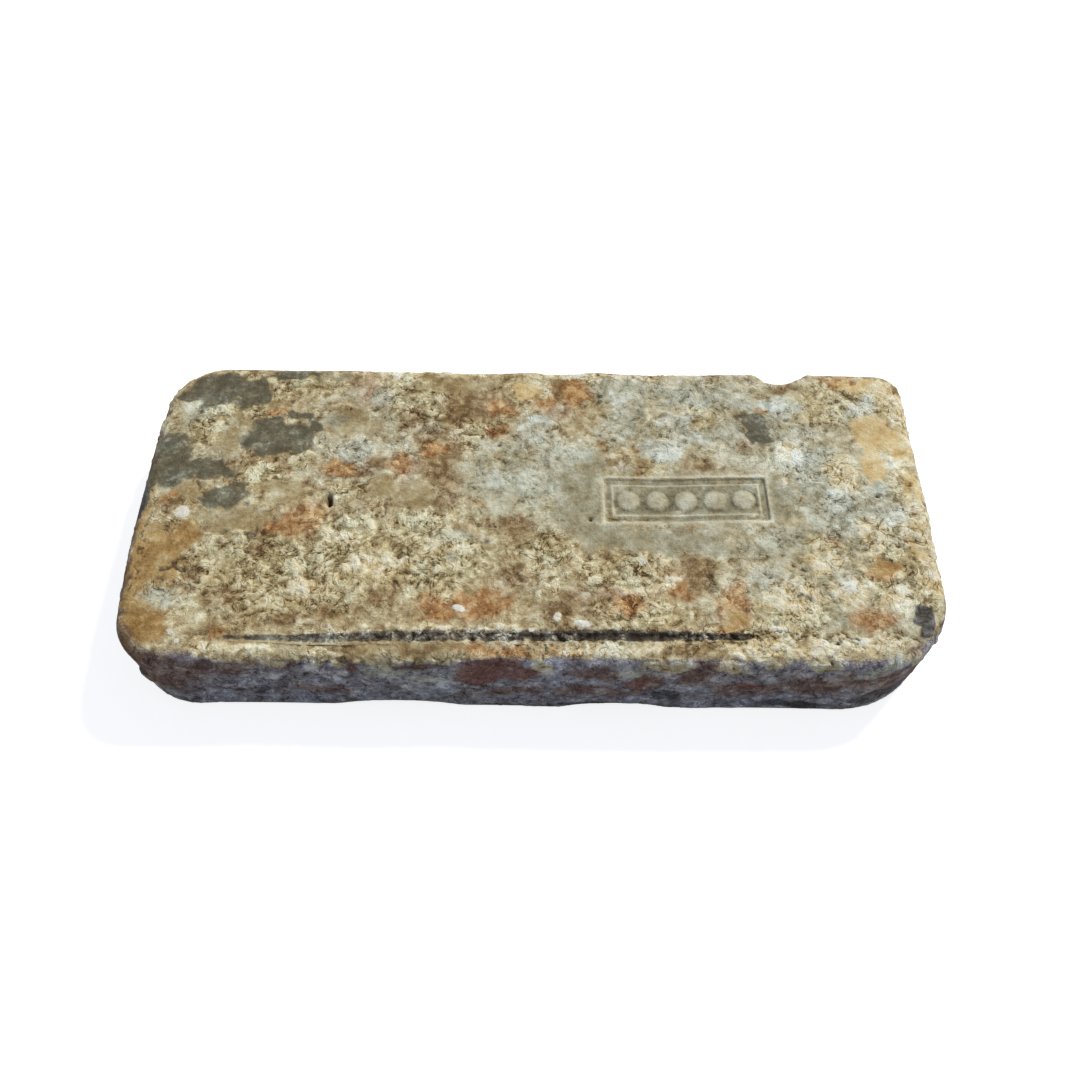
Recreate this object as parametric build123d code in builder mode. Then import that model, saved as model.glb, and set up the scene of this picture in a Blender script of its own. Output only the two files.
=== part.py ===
from build123d import *

import os
from math import radians, tan

# Old hand-moulded clay brick, thin and wide, with soft corners.
#
# The brick lies on its bed as it does on a floor. +X runs along its length, +Y towards
# its back stretcher, +Z up. The origin is the centre of the bed, on the ground.
# Lengths are in millimetres and angles in degrees.

# Overall size, at the widest line of each side
length = 280.0
width = 132.0
thickness = 32.0

# The headers bow outwards, the left one more than the right
left_header_bow = 2.6
right_header_bow = 1.4

# Corners of the outline where it is widest, and the two front ones again at the bed,
# where they are more worn
back_left_radius = 22.0
back_right_radius = 11.0
front_left_radius = 19.0
front_right_radius = 30.0
front_left_bed_radius = 27.0
front_right_bed_radius = 37.0

# Section. The sides lean in towards the bed, as clay does when it leaves the mould,
# and stand upright in a narrow lip below the top arris.
mould_draft = 1.4
upright_lip = 0.8
top_arris_radius = 5.0
bed_arris_radius = 1.8

# Furrow that the striking board left along the front of the top face. It is measured
# from the front stretcher and from the two headers, and it runs a little askew. It is cut
# by a round tool that thins to its tip radius and lifts clear of the face at each end.
furrow_left_setback = 8.2
furrow_right_setback = 10.8
furrow_left_inset = 36.0
furrow_right_inset = 56.0
furrow_left_fade = 42.0
furrow_right_fade = 30.0
furrow_depth = 1.6
furrow_tool_radius = 2.0
furrow_tip_radius = 0.8
furrow_lift = 0.2

# Sunk panel pressed by a die, placed by its middle from the right header and from the
# middle of the width
panel_length = 58.0
panel_width = 19.6
panel_depth = 1.2
panel_corner_radius = 1.5
panel_wall_lean = 25.0
panel_turn = 1.6
panel_inset = 86.0
panel_offset = 2.4

# Spalls in the top back arris. Each is a ball-shaped bite that reaches into the side and
# drops from the face by its own amounts, placed by its middle from the right header.
notch_inset = 48.0
notch_ball_radius = 15.0
notch_bite = 8.0
notch_drop = 9.0

dip_inset = 130.0
dip_ball_radius = 45.0
dip_bite = 4.0
dip_drop = 6.0

# Spalls along the front of the bed, where the clay broke away as the brick was turned out
left_heel_inset = 95.0
left_heel_ball_radius = 150.0
left_heel_bite = 3.1
left_heel_rise = 5.6

right_heel_inset = 112.0
right_heel_ball_radius = 110.0
right_heel_bite = 3.1
right_heel_rise = 5.4

lip_foot = thickness - top_arris_radius - upright_lip
bed_inset = lip_foot * tan(radians(mould_draft))
front_y = -width / 2
back_y = width / 2
right_x = length / 2
left_x = -length / 2


def outline(plan, inset, front_left, front_right, back_right, back_left):
    # Draws the brick's plan this far inside its widest line, with a radius for each corner
    x0, x1 = left_x + inset, right_x - inset
    y0, y1 = front_y + inset, back_y - inset
    with BuildLine() as sides:
        front = Line((x0 + left_header_bow, y0), (x1 - right_header_bow, y0))
        right_header = ThreePointArc(front @ 1, (x1, 0), (x1 - right_header_bow, y1))
        back = Line(right_header @ 1, (x0 + left_header_bow, y1))
        ThreePointArc(back @ 1, (x0, 0), front @ 0)
    make_face(sides.edges())
    for corner_point, radius in (
        (front @ 0, front_left),
        (front @ 1, front_right),
        (back @ 0, back_right),
        (back @ 1, back_left),
    ):
        fillet(plan.vertices().sort_by_distance(corner_point)[0], radius)


def spall(x, side_y, face_z, bite, drop, ball_radius):
    # A ball that cuts the edge where the side at side_y meets the face at face_z. Its
    # surface crosses the face bite inside the side, and the side drop away from the face.
    outward_y = 1 if side_y > 0 else -1
    outward_z = 1 if face_z > 0 else -1
    chord = (bite**2 + drop**2) ** 0.5
    stand_off = (ball_radius**2 - (chord / 2) ** 2) ** 0.5
    centre_y = side_y + outward_y * (stand_off * drop / chord - bite / 2)
    centre_z = face_z + outward_z * (stand_off * bite / chord - drop / 2)
    with Locations((x, centre_y, centre_z)):
        Sphere(ball_radius, mode=Mode.SUBTRACT)


with BuildPart() as brick:
    # Moulded block, from its outline at the bed up to the one where it is widest
    with BuildSketch(Plane.XY) as bed:
        outline(
            bed, bed_inset,
            front_left_bed_radius, front_right_bed_radius, back_right_radius, back_left_radius,
        )
    with BuildSketch(Plane.XY.offset(lip_foot)) as widest:
        outline(
            widest, 0,
            front_left_radius, front_right_radius, back_right_radius, back_left_radius,
        )
    loft(ruled=True)
    extrude(widest.sketch, amount=upright_lip + top_arris_radius)

    # Arrises, rounded by handling on top and tighter at the bed
    fillet(brick.edges().group_by(Axis.Z)[-1], top_arris_radius)
    fillet(brick.edges().group_by(Axis.Z)[0], bed_arris_radius)

    # Furrow, full depth along its middle and fading out towards both ends
    furrow_start = Vector(left_x + furrow_left_inset, front_y + furrow_left_setback)
    furrow_end = Vector(right_x - furrow_right_inset, front_y + furrow_right_setback)
    furrow_run = (furrow_end - furrow_start).length
    along = (furrow_end - furrow_start).normalized()
    for run, radius, sunk in (
        (0, furrow_tip_radius, -furrow_lift),
        (furrow_left_fade, furrow_tool_radius, furrow_depth),
        (furrow_run - furrow_right_fade, furrow_tool_radius, furrow_depth),
        (furrow_run, furrow_tip_radius, -furrow_lift),
    ):
        station = furrow_start + along * run + Vector(0, 0, thickness + radius - sunk)
        with BuildSketch(Plane(station, z_dir=along)):
            Circle(radius)
    loft(ruled=True, mode=Mode.SUBTRACT)

    # Sunk panel
    with BuildSketch(Plane.XY.offset(thickness)):
        with Locations((right_x - panel_inset, panel_offset)):
            RectangleRounded(
                panel_length, panel_width, panel_corner_radius, rotation=panel_turn
            )
    extrude(amount=-panel_depth, taper=panel_wall_lean, mode=Mode.SUBTRACT)

    # Spalls
    spall(right_x - notch_inset, back_y, thickness, notch_bite, notch_drop, notch_ball_radius)
    spall(right_x - dip_inset, back_y, thickness, dip_bite, dip_drop, dip_ball_radius)
    spall(
        left_x + left_heel_inset, front_y, 0,
        left_heel_bite, left_heel_rise, left_heel_ball_radius,
    )
    spall(
        right_x - right_heel_inset, front_y, 0,
        right_heel_bite, right_heel_rise, right_heel_ball_radius,
    )

brick.part.label = "brick"

os.makedirs("parts", exist_ok=True)
export_step(brick.part, "parts/brick.step")
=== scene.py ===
import math
import random
from types import SimpleNamespace

import bmesh
import bpy
import numpy as np
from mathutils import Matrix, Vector, noise
from mathutils.bvhtree import BVHTree


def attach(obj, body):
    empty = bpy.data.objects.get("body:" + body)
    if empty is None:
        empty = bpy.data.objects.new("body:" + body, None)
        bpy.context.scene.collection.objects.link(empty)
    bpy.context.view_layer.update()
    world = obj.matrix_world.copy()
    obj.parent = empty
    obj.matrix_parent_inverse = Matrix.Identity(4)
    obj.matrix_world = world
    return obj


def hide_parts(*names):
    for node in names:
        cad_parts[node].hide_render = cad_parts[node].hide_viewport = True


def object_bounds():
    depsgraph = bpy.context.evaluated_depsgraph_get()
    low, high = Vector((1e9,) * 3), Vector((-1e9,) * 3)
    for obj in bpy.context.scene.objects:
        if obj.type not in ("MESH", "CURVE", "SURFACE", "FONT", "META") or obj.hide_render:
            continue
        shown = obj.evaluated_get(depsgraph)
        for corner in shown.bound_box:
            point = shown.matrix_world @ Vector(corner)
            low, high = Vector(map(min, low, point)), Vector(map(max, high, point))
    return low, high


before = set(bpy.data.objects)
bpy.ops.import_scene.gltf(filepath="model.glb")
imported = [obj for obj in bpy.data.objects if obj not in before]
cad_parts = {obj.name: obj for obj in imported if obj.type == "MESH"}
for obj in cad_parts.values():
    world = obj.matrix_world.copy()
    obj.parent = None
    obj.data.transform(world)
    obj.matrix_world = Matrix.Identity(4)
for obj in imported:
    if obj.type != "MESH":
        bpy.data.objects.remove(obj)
cadLow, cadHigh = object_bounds()
mm = 0.001
topZ = cadHigh.z / mm  # height of the top face, in millimetres
print("frame loaded, the brick is", [round(side / mm, 1) for side in cadHigh - cadLow], "mm")

# Places below are in millimetres in the brick's own frame: x along it, y towards its back.
# A patch is its middle, its reach each way and its turn in degrees.
topPatches = {
    "bloom": [
        (98, 2, 44, 66, 0), (60, 46, 38, 24, 0), (-2, 14, 28, 22, 0), (116, -30, 26, 30, 0),
        (-118, 34, 16, 24, 0), (-66, 30, 20, 20, 0),
    ],
    "brown": [
        (-20, 47, 11, 8, 0), (-34, 26, 9, 6, 10), (-35, 15, 6, 6, 0), (-31, 6, 4, 8, 0),
        (-67, 15, 10, 3.5, 5), (15, 50, 6, 11, 0), (-93, -14, 4, 3, 0), (-94, -23, 4, 5, 0),
        (-104, -42, 6, 4, 0), (-68, -47, 6, 3, 0), (-5, -10, 6, 5, 0), (8, -46, 5, 4, 0),
        (-6, -33, 6, 5, 0), (-45, 40, 6, 5, 0), (54, -30, 10, 5, 0), (-55, 18, 5, 4, 0),
        (30, 18, 4, 3, 0), (75, 42, 4, 3, 0), (76, 26, 4, 3, 0), (-128, -1, 5, 3, 0),
        (-137, -44, 4, 14, 0), (94, 56, 5, 2, 0), (60, 18, 7, 2, 0), (-82, -50, 6, 2.5, 0),
        (14, -43, 11, 6, 0), (-50, -40, 6, 4, 0), (13, 61, 7, 2, 0), (-116, -36, 4, 6, 0),
        (-132, -56, 5, 8, 30), (54, -60.5, 9, 3.4, 0), (-28, 44, 6, 8, 0), (-36, 24, 9, 12, 0),
        (11, 50, 8, 9, 0), (-62, -61, 7, 1.6, 0), (-36, -60.5, 9, 1.8, 0),
    ],
    "rust": [
        (-95, 41, 4, 2, 0), (-80, -8, 9, 8, 20), (-88, -12, 5, 4, 0), (-68, 15, 5, 2.5, 0),
        (-36, 25, 5, 4, 0), (-12, 44, 5, 4, 0), (-32, -44, 6, 3.5, 0), (50, -36, 5, 3, 0),
        (4, 47, 4, 4, 0), (15, 53, 5, 7, 0), (-14, 33, 4, 4, 0), (-16, -44, 12, 5, 0),
        (-30, -48, 6, 3, 0), (32, -42, 7, 4, 0), (68, -44, 6, 9, 0), (113, -47, 7, 5, 10),
        (119, -28, 5, 5, 0), (116, 60, 9, 3, 0), (-103, -55, 4, 2, 0), (-12, -61, 12, 2.5, 0),
        (12, -61, 8, 2.5, 0), (66, -51, 5, 3, 0), (-48, 17, 3, 5, 0), (84, 45, 3, 2, 0),
        (-130, 3, 3, 2, 0),
    ],
    "pink": [
        (8, 44, 6, 5, 0), (-60, 55, 7, 6, 0), (-46, 15, 4, 5, 0), (104, -15, 5, 4, 0),
        (30, -38, 6, 4, 0), (122, 58, 6, 3, 0), (-54, 50, 8, 6, 0), (120, 0, 4, 3, 0),
    ],
    "tan": [
        (-106, -8, 13, 5, -5), (-122, 4, 9, 3, 0), (-54, 5, 6, 6, 0), (-70, 38, 8.5, 9, 0),
        (-112, 27, 4, 7, 0), (-90, 5, 8, 5, 0), (-42, 2, 8, 6, 0), (-30, 56, 12, 4, 0),
        (-60, 34, 5, 4, 0), (-95, 46, 6, 3, 0), (-106, 36, 3, 5, 0), (-74, -60.5, 24, 2.4, 0),
        (-34, -60.5, 20, 2.4, 0),
    ],
    "olive": [
        (17, 0, 9, 17, 0), (54, 2, 32, 12, 0), (86, 4, 6, 11, 0), (45, -16, 20, 6, 0),
        (25, -14, 9, 6, 0), (-74, 39, 5, 4, 0), (-83, 61, 14, 2.5, 0), (60, -20, 8, 4, 0),
        (22, 16, 7, 6, 0),
    ],
    "pale": [
        (-4, 13, 17, 12, 0), (0, 34, 7, 7, 0), (-14, 9, 10, 6, 0), (35, 54, 14, 8, 0),
        (45, 27, 8, 7, 0), (62, 52, 16, 8, 0), (57, 36, 14, 9, 0), (34, 36, 10, 10, 0),
        (73, 33, 6, 6, 0), (95, 44, 8, 7, 0), (100, 20, 12, 12, 0), (95, 32, 8, 8, 0),
        (104, 0, 13, 10, 0), (122, 2, 8, 9, 0), (92, -14, 14, 6, 0), (80, -20, 9, 5, 0),
        (86, -34, 8, 6, 0), (105, -34, 8, 9, 0), (114, -10, 10, 8, 0), (-63, 24, 6, 6, 0),
        (-124, -42, 4.5, 5.5, 0), (-65, -15, 6, 4, 0), (-38, 36, 5, 4, 0), (118, 46, 7, 5, 0),
        (-120, 40, 8, 6, 0), (10, 22, 12, 6, 0), (-28, -14, 8, 4, 0), (-52, 50, 8, 5, 0),
        (98, -48, 7, 4, 0), (80, 8, 5, 6, 0),
    ],
    "cream": [
        (-92, -33, 24, 18, 0), (-58, -27, 20, 18, 0), (-30, -28, 16, 14, 0), (-98, 52, 5, 8, 0),
        (-84, 56, 10, 5, 0), (-110, 44, 14, 5, 0), (-120, 32, 8, 10, 0), (-84, 20, 5, 4, 0),
        (-98, 12, 8, 6, 0), (-65, 5, 6, 4, 0), (-38, -8, 9, 5, 0), (30, -29, 16, 7, 0),
        (36, -46, 16, 6, 0), (88, -45, 14, 8, 0), (100, -20, 8, 8, 0), (55, 38, 12, 8, 0),
        (105, 46, 12, 8, 0), (122, -30, 12, 12, 0), (-46, 56, 14, 6, 0), (-70, -12, 10, 5, 0),
        (-44, 45, 10, 8, 0), (-25, 33, 6, 8, 0), (-110, 58, 6, 4, 0), (5, -20, 10, 8, 0),
        (-96, -14, 6, 3, 0), (132, -30, 7, 18, 0), (133, 0, 7, 16, 0), (132, 46, 6, 12, 0),
        (112, 54, 14, 6, 0), (72, -56, 30, 5, 0),
    ],
    "ochre": [
        (-128, -24, 8, 12, 0), (-134, -34, 4, 16, 0), (-129, -50, 7, 7, 20), (-121, -17, 7, 5, 0),
        (-137, -12, 3, 10, 0), (-124, -56, 6, 4, 20), (68, -48, 5, 4, 0), (118, -26, 5, 4, 0),
    ],
    "sand": [
        (124, 34, 8, 9, 0), (123, 19, 4, 8, 0), (128, 34, 5, 7, 0), (132, -20, 3, 4, 0),
        (-3, 54, 5, 5, 0), (120, 58, 8, 3, 0), (134, 8, 4, 8, 0), (134, 28, 4, 6, 0),
    ],
    # Rows along the front lip, y from about -54 to -63, and along the right margin, x from 130,
    # lighten the front arris and the right edge: partly the crust's pale colour, partly painted
    # light
    "limeAndPaintedLight": [
        (135, -24, 5, 17, 0), (135, 2, 4.5, 13, 0), (136, 38, 3.5, 18, 0), (-94, -62, 10, 1.8, 0),
        (-68, -63, 8, 1.4, 0), (24, -60.5, 14, 2.6, 0), (82, -60, 18, 3.5, 0), (108, -57, 12, 4, 0),
        (122, -40, 5, 4, 0), (-104, -61, 8, 2, 0), (-22, -54, 22, 1.6, 0), (-62, -54.5, 14, 1.4, 0),
        (130, 55, 6, 5, 0), (22, 62, 26, 2, 0), (-45, 63, 30, 2, 0), (6.5, -33, 1.4, 6, 5),
        (121, 47, 5, 4, 0), (-65, -16, 6, 4, 0), (-60, -26, 5, 4, 0), (-78, -36, 7, 5, 0),
        (98, -58, 10, 3, 0), (5, 54, 3, 4, 0), (46, -34, 3, 3, 0), (88, -40, 11, 8, 0),
        (106, -36, 7, 8, 0), (100, -24, 8, 5, 0), (118, -12, 6, 6, 0), (110, 14, 7, 8, 0),
        (92, 26, 5, 5, 0), (84, -52, 8, 3, 0), (-50, -30, 6, 6, 0), (130, 18, 4, 6, 0),
        (-29, -19.5, 9, 1.8, -4), (133, -8, 6, 14, 0), (132, 52, 5, 7, 0),
    ],
    "frost": [
        (45, 26, 7, 5.5, 0), (93, 46, 5.5, 3.5, 0), (1, 35, 5.5, 5, 0), (121, 47, 5, 4, 0),
        (-16, 9, 5, 4, 0), (128, -3, 3, 5, 0), (56, 32, 7, 5, 0), (98, 24, 6, 4, 0),
        (36, 31, 5, 4, 0), (78, 50, 5, 4, 0), (108, 4, 6, 4, 0), (88, 50, 6, 3, 0),
        (78, -32, 4, 3, 0), (105, -32, 4, 4, 0), (34, 50, 6, 4, 0), (52, 40, 6, 4, 0),
    ],
    "soot": [
        (-118, 55, 12, 6.5, 0), (-106, 52, 7, 8, 0), (-131, 51, 4, 3, 0), (-94, 29, 12.5, 8.5, 0),
        (-98, 36, 6, 3, 0), (-82, 35, 4, 3, 0), (-87, 41, 4, 2.5, 0), (-130, 19, 7.5, 11, 0),
        (-118, 14.5, 12, 5, 0), (-109, 1, 8, 4.5, 10), (-104, 6, 3, 3, 0), (-138, 12, 3, 16, 0),
        (82, 36, 5, 7, 0), (75, 41, 4, 2, 0), (-90, 61, 12, 2, 0), (-120, 50, 6, 5, 0),
    ],
    "umber": [(-139, -30, 2.6, 26, 0), (-135, -57, 5, 5, 30), (-139.5, 32, 2, 18, 0)],
    "charcoal": [(131, -50, 4, 6.5, -15), (-139, 2, 2, 10, 0)],
    "white": [
        (-123, -5.5, 2.8, 3, 20), (-118, -55.3, 1, 1.4, 30), (-115.1, -58.8, 1.2, 1, 0),
        (-24, -45, 2.4, 1.3, -20), (9, -48, 1.5, 2.2, 0), (0.5, -53, 1.2, 0.9, 0),
        (37.5, -25, 1, 1, 0), (14, -19, 0.9, 0.9, 0), (-48, 32, 1.4, 1, 0), (17, -50.5, 3, 1.2, -8),
    ],
}

# On the front stretcher the same rows are x and height above the bed
frontPatches = {
    "umber": [
        (-140, 18, 12, 18, 0), (-124, 22, 17, 10, 0), (-110, 25, 18, 4, 0), (-92, 28, 18, 3, 0),
        (22, 25, 9, 5, 0), (38, 18, 7, 5, 0),
        (72, 14, 12, 5, 0), (93, 18, 10, 5, 0), (112, 22, 12, 6, 0), (-40, 28, 12, 2.5, 0),
        (55, 22, 6, 6, 0), (-70, 12, 8, 3, 0), (-5, 12, 9, 3, 0), (124, 12, 10, 8, 0),
        (22, 13, 11, 4, 0), (-122, 26, 14, 5, 0), (55, 28, 8, 4, 0),
    ],
    "redClay": [
        (-13, 27, 11, 5.5, 0), (-20, 21, 6, 4, 0), (-57, 26, 3, 3, 0), (36, 19, 4, 3, 0),
        (-3, 23, 5, 3, 0), (74, 16, 5, 2, 0),
    ],
    "charcoal": [
        (45, 11, 4, 2.5, 0), (118, 8, 12, 4, 0), (86, 5, 12, 3, 0), (-92, 12, 3, 2, 30),
        (-132, 12, 5, 7, 0), (20, 4, 14, 2, 0),
    ],
    "limeAndPaintedLight": [
        (-83, 29, 4, 3, 20), (-48, 30, 5, 1.6, 0), (-70, 29, 2.5, 2.5, 0), (-62, 29, 2, 2.5, 0),
        (44, 30, 8, 2.4, 0), (4, 28, 2.5, 6, 0), (66, 29, 6, 2.5, 0), (96, 30, 6, 2.4, 0),
        (122, 29, 6, 3, 0), (127, 24, 3, 4, 0), (80, 30, 4, 2, 0),
    ],
    "frost": [
        (34, 26, 6, 3.5, 0), (118, 27, 7, 3, 0), (-46, 25, 7, 3, 0), (-34, 20, 6, 2.5, 0),
    ],
    "ochre": [(-140, 28, 8, 5, 0), (-132, 29, 8, 3, 0)],
    "brown": [(-138, 22, 6, 8, 0), (-128, 12, 8, 4, 0)],
}

# The other sides and the bed weren't seen, so their patches fall at random from one seed
hiddenPatches = {
    "seed": 41, "count": 110, "smallest": 3, "largest": 14, "flatness": 0.75,
    "halfLength": 140, "halfWidth": 66, "highest": 26, "header": 139, "back": 65,
    "finishes": [
        "cream", "frost", "umber", "limeAndPaintedLight", "tan", "charcoal", "redClay", "frost", "ochre",
    ],
}

# Each crack has its width, its depth and its run of points on the top face
cracks = [
    (1.2, 1.0, [(-127, -30.5), (-122.5, -27.5), (-119, -30)]),
    (1.0, 0.8, [(-123, -27.5), (-121, -25.5), (-118.5, -26)]),
    (0.7, 0.8, [(-57, -6), (-52, -5), (-50.5, -1)]),
    (0.5, 0.7, [(-122, 10), (-118, 5), (-114, 1.5)]),
    (0.7, 0.8, [(84, -55.4), (92, -55.9), (101, -55.1), (113, -56)]),
    (0.6, 0.9, [(86, -24), (89, -27), (93, -30)]),
    (0.5, 0.8, [(80, -31), (84, -33.5)]),
    (0.5, 0.7, [(88, -38.5), (96, -41)]),
    (0.6, 0.8, [(99, -55.5), (103, -57.5), (109, -58.5)]),
    (0.6, 0.7, [(126, -8), (129, -20), (131, -27)]),
    (0.5, 0.7, [(103, -20), (108, -24)]),
    (0.6, 0.8, [(100, -38), (105, -41.5)]),
    (0.6, 0.6, [(-133.5, -6), (-133, -20), (-134, -38)]),
    (0.5, 0.7, [(-99, -14), (-95, -10)]),
    (0.5, 0.6, [(101, -45), (106, -48)]),
    (0.5, 0.6, [(-16, -10), (-10, -14)]),
    (0.6, 0.7, [(120, -52), (127, -56)]),
    (0.5, 0.6, [(132, 8), (134, -4)]),
    (0.9, 0.7, [(4.6, -57.5), (5.3, -61), (4.9, -66)]),
    (0.6, 0.6, [(66, -53.8), (84, -53.6), (96, -54.2)]),
    (0.6, 0.7, [(-96, -15), (-99, -19), (-98, -24)]),
    (0.5, 0.6, [(-79, -24), (-74, -27), (-73, -32)]),
]

# Holes and stones on the top face: middle, reach each way, turn, and depth or height
holes = [
    (-72, 1.0, 1.3, 3.1, 12, 3.0), (20, -7, 0.9, 0.9, 0, 1.4), (122, 5, 1.2, 1.1, 0, 1.8),
    (-107, -14, 1.8, 1.0, 20, 1.0), (-97, -15, 2.4, 1.6, 40, 1.2), (-79, 3.5, 1.2, 0.8, 0, 0.7),
    (-90, 55, 1.6, 0.6, 0, 0.7), (76, 24, 1.0, 0.7, 0, 0.6), (-66, 4, 1.2, 0.8, 30, 0.8),
    (31, -32, 1.2, 0.9, 0, 0.9), (60, -31, 1.6, 0.8, 0, 0.7), (99, 36, 1.0, 0.8, 0, 0.6),
    (107, 35, 1.3, 1.0, 0, 0.8), (-35, -5, 1.0, 0.7, 0, 0.7), (-104, 22, 0.8, 0.8, 0, 0.5),
]
stones = [
    (17.5, -50.5, 3.6, 1.5, -8, 1.0), (9, -48, 1.6, 2.3, 0, 0.9), (-24, -45, 2.8, 1.5, -25, 0.7),
    (-123, -5.5, 2.8, 3.0, 20, 0.5), (48, -31, 1.5, 1.5, 0, 0.8), (47.5, -35, 0.9, 1.4, 0, 0.6),
    (-55, -52.5, 1.8, 1.1, 0, 0.6), (-47, -52, 1.5, 1.0, 0, 0.6), (-38, -53.5, 2.0, 1.2, 10, 0.7),
    (-31, -53, 1.2, 0.9, 0, 0.5), (-20, -54, 1.3, 1.2, 0, 0.6), (-4, -53.5, 1.8, 1.2, 0, 0.7),
    (2, -54, 1.4, 1.0, 0, 0.6), (-12, -53.5, 1.1, 0.9, 0, 0.5), (123, 63, 1.6, 1.2, 0, 0.5),
]

# Thin plates of crust with a bright rim: middle, reach each way, turn and thickness
plates = [
    (-70, 38, 9.5, 9.5, 0, 0.3), (-63, 24, 6.2, 6.2, 0, 0.4), (-54, 5, 6.2, 6.0, 0, 0.3),
    (30, 18, 5.0, 3.6, 0, 0.4), (45, 26, 7.0, 5.0, 0, 0.3), (124, 32, 8.5, 10, 0, 0.2),
    (-112, 28, 5.0, 7.5, 0, 0.25), (110, -38, 8.0, 6.0, 0, 0.25), (-85, 24, 4, 4.5, 0, 0.3),
]

# Crumbs that stand off the corners, the front and the notch: middle with its height, reach
# and rise
crumbs = [
    (-129, -62, 13.5, 4.0, 2.4), (-131, -58, 9, 3.0, 1.2), (126.5, -59.5, 28.5, 2.8, 1.4),
    (129, -55, 26, 2.4, 1.0), (-2, -65.5, 26, 2.0, 0.4), (123, -61, 22, 3.0, 0.9),
    (83.5, 61, 30, 3.4, 3.6), (99.5, 60.5, 29, 2.8, 2.6), (90, 58.5, 26, 3.2, 1.8),
]

sunkPanel = {
    "middle": (54, 2.4), "turn": 1.6, "length": 58, "width": 19.6, "fill": 0.3,
    "lip": 1.6, "lipRise": 0.22, "groove": 1.7, "grooveDepth": 0.35,
    "border": 3.0, "borderWidth": 0.8, "borderRise": 0.5,
    "pellets": 5, "pelletPitch": 10.2, "pelletReach": 4.3, "pelletRise": 1.0,
    "fadeFrom": 0.5, "fadeTo": 2.5,  # mm outside its edge, where the motif ends
    "closeX": 33, "closeY": 13,  # mm each way from its middle that get closer cells
}

# The furrow's bottom is partly filled with crumbs, most along its front. A dark band, partly
# stain and partly painted shadow of its back wall, lies along its back edge and tapers towards
# both ends.
furrowLine = {
    "run": [(-104, -57.9), (0, -56.6), (84, -55.3)], "reach": 3.2,
    "fill": 0.6, "frontFill": 0.7,
    "stainAndShadow": [(-100, -57.2), (-40, -55.7), (0, -55.1), (72, -54.6)],
    "stainAndShadowTip": 1.0, "stainAndShadowReach": 1.5, "leftTaper": (-96, -40), "rightTaper": (80, 36),
    "solidFrom": (-8, 12), "solid": 0.28,  # its right part is darker
    "closeX": (-106, 88), "closeY": (-61, -52.5),
}

# The crust of the top ends part of the way round the top arris, sooner at the front left
# corner, and later along the left of the front and at both headers. Each pair says where
# such a stretch starts and where it is in full.
crustEdge = {
    "arris": 5.0, "width": 2.7, "soft": 0.6, "waveRise": 0.9, "rippleRise": 0.6,
    "front": (-44, -56), "corner": (-100, -120), "cornerLoss": 1.5,
    "leftFromRight": (-8, -28), "leftFromCorner": (-116, -100), "leftGain": 2.7,
    "header": (126, 135), "headerGain": 2.8,
    "crumbWidth": 1.3, "crumbRise": 0.35,
}

# How patches, plates and cracks wander off their plain shapes: wave length and reach
wandering = {
    "edge": (4, 0.2), "bend": (8, 1.8), "far": (16, 1.4), "near": (4.5, 1.5), "height": (12, 2.0),
}

relief = {
    "cell": 0.65, "quickCell": 1.1,  # mm, of the even mesh that the relief is worked on
    "triangles": 192000,
    "waveSize": 42, "waveRise": 0.5, "lumpSize": 7.2, "lumpRise": 0.8,
    "knobSize": 3.9, "knobRise": 0.7, "threadSize": 5.2, "threadRise": 0.28,
    "grainSize": 1.6, "grainRise": 0.1, "flakeSize": 8.0, "flakeRise": 0.34,
    "sideShare": 0.7, "bedShare": 0.15,
    "pits": 240, "grits": 420, "smallest": 0.5, "largest": 1.3, "seed": 7,
    "underShare": 90,  # per cent of the skin that stays under the block's faces
    "proudShare": 0.35,  # of what stands proud is kept
    "uprightRoom": 0.3,  # mm under the top face, from where the relief rises straight up
}


def smoothStep(low, high, value):
    share = np.clip((value - low) / (high - low), 0, 1)
    return share * share * (3 - 2 * share)


def drift(points, size, octaves, shift):
    # Soft noise from about -1 to 1, with its largest waves about size millimetres long
    places = points / size + shift
    found = [noise.fractal(place, 0.8, 2.0, octaves) for place in places.tolist()]
    return np.array(found) * 1.6


def knobs(points, size, octaves, shift):
    # Round lumps with sharp creases between them, from 0 in a crease to about 1 on top
    places = points / size + shift
    found = [noise.turbulence(place, octaves, True) for place in places.tolist()]
    return np.clip(np.array(found) * 1.25, 0, 1.2)


def wandered(points, name, octaves, shift):
    size, reach = wandering[name]
    return drift(points, size, octaves, shift) * reach


def threads(points, size, shift):
    # Thin curling lines, 1 on each line and 0 away from it
    bend = np.stack([drift(points, size, 2, shift + step) for step in (1, 2, 3)], 1)
    found = drift(points + bend * size * 0.3, size, 2, shift)
    return np.exp(-((found / 0.14) ** 2))


def patchDistance(across, up, row):
    # 0 in the middle of a patch and 1 on its edge
    x, y, reachX, reachY, turn = row[:5]
    cos, sin = math.cos(math.radians(turn)), math.sin(math.radians(turn))
    alongX = (across - x) * cos + (up - y) * sin
    alongY = (up - y) * cos - (across - x) * sin
    return np.hypot(alongX / reachX, alongY / reachY)


def covered(across, up, rows):
    # 1 well inside the patches, one half at their edges and 0 well outside
    cover = np.zeros(len(across))
    for row in rows:
        cover = np.maximum(cover, np.clip(1.5 - patchDistance(across, up, row), 0, 1))
    return cover


def lineDistance(across, up, run):
    # Millimetres to the nearest stretch of a run of points
    nearest = np.full(len(across), 1e3)
    for (x0, y0), (x1, y1) in zip(run, run[1:]):
        runX, runY = x1 - x0, y1 - y0
        share = ((across - x0) * runX + (up - y0) * runY) / (runX**2 + runY**2)
        share = np.clip(share, 0, 1)
        gap = np.hypot(across - x0 - share * runX, up - y0 - share * runY)
        nearest = np.minimum(nearest, gap)
    return nearest


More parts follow.
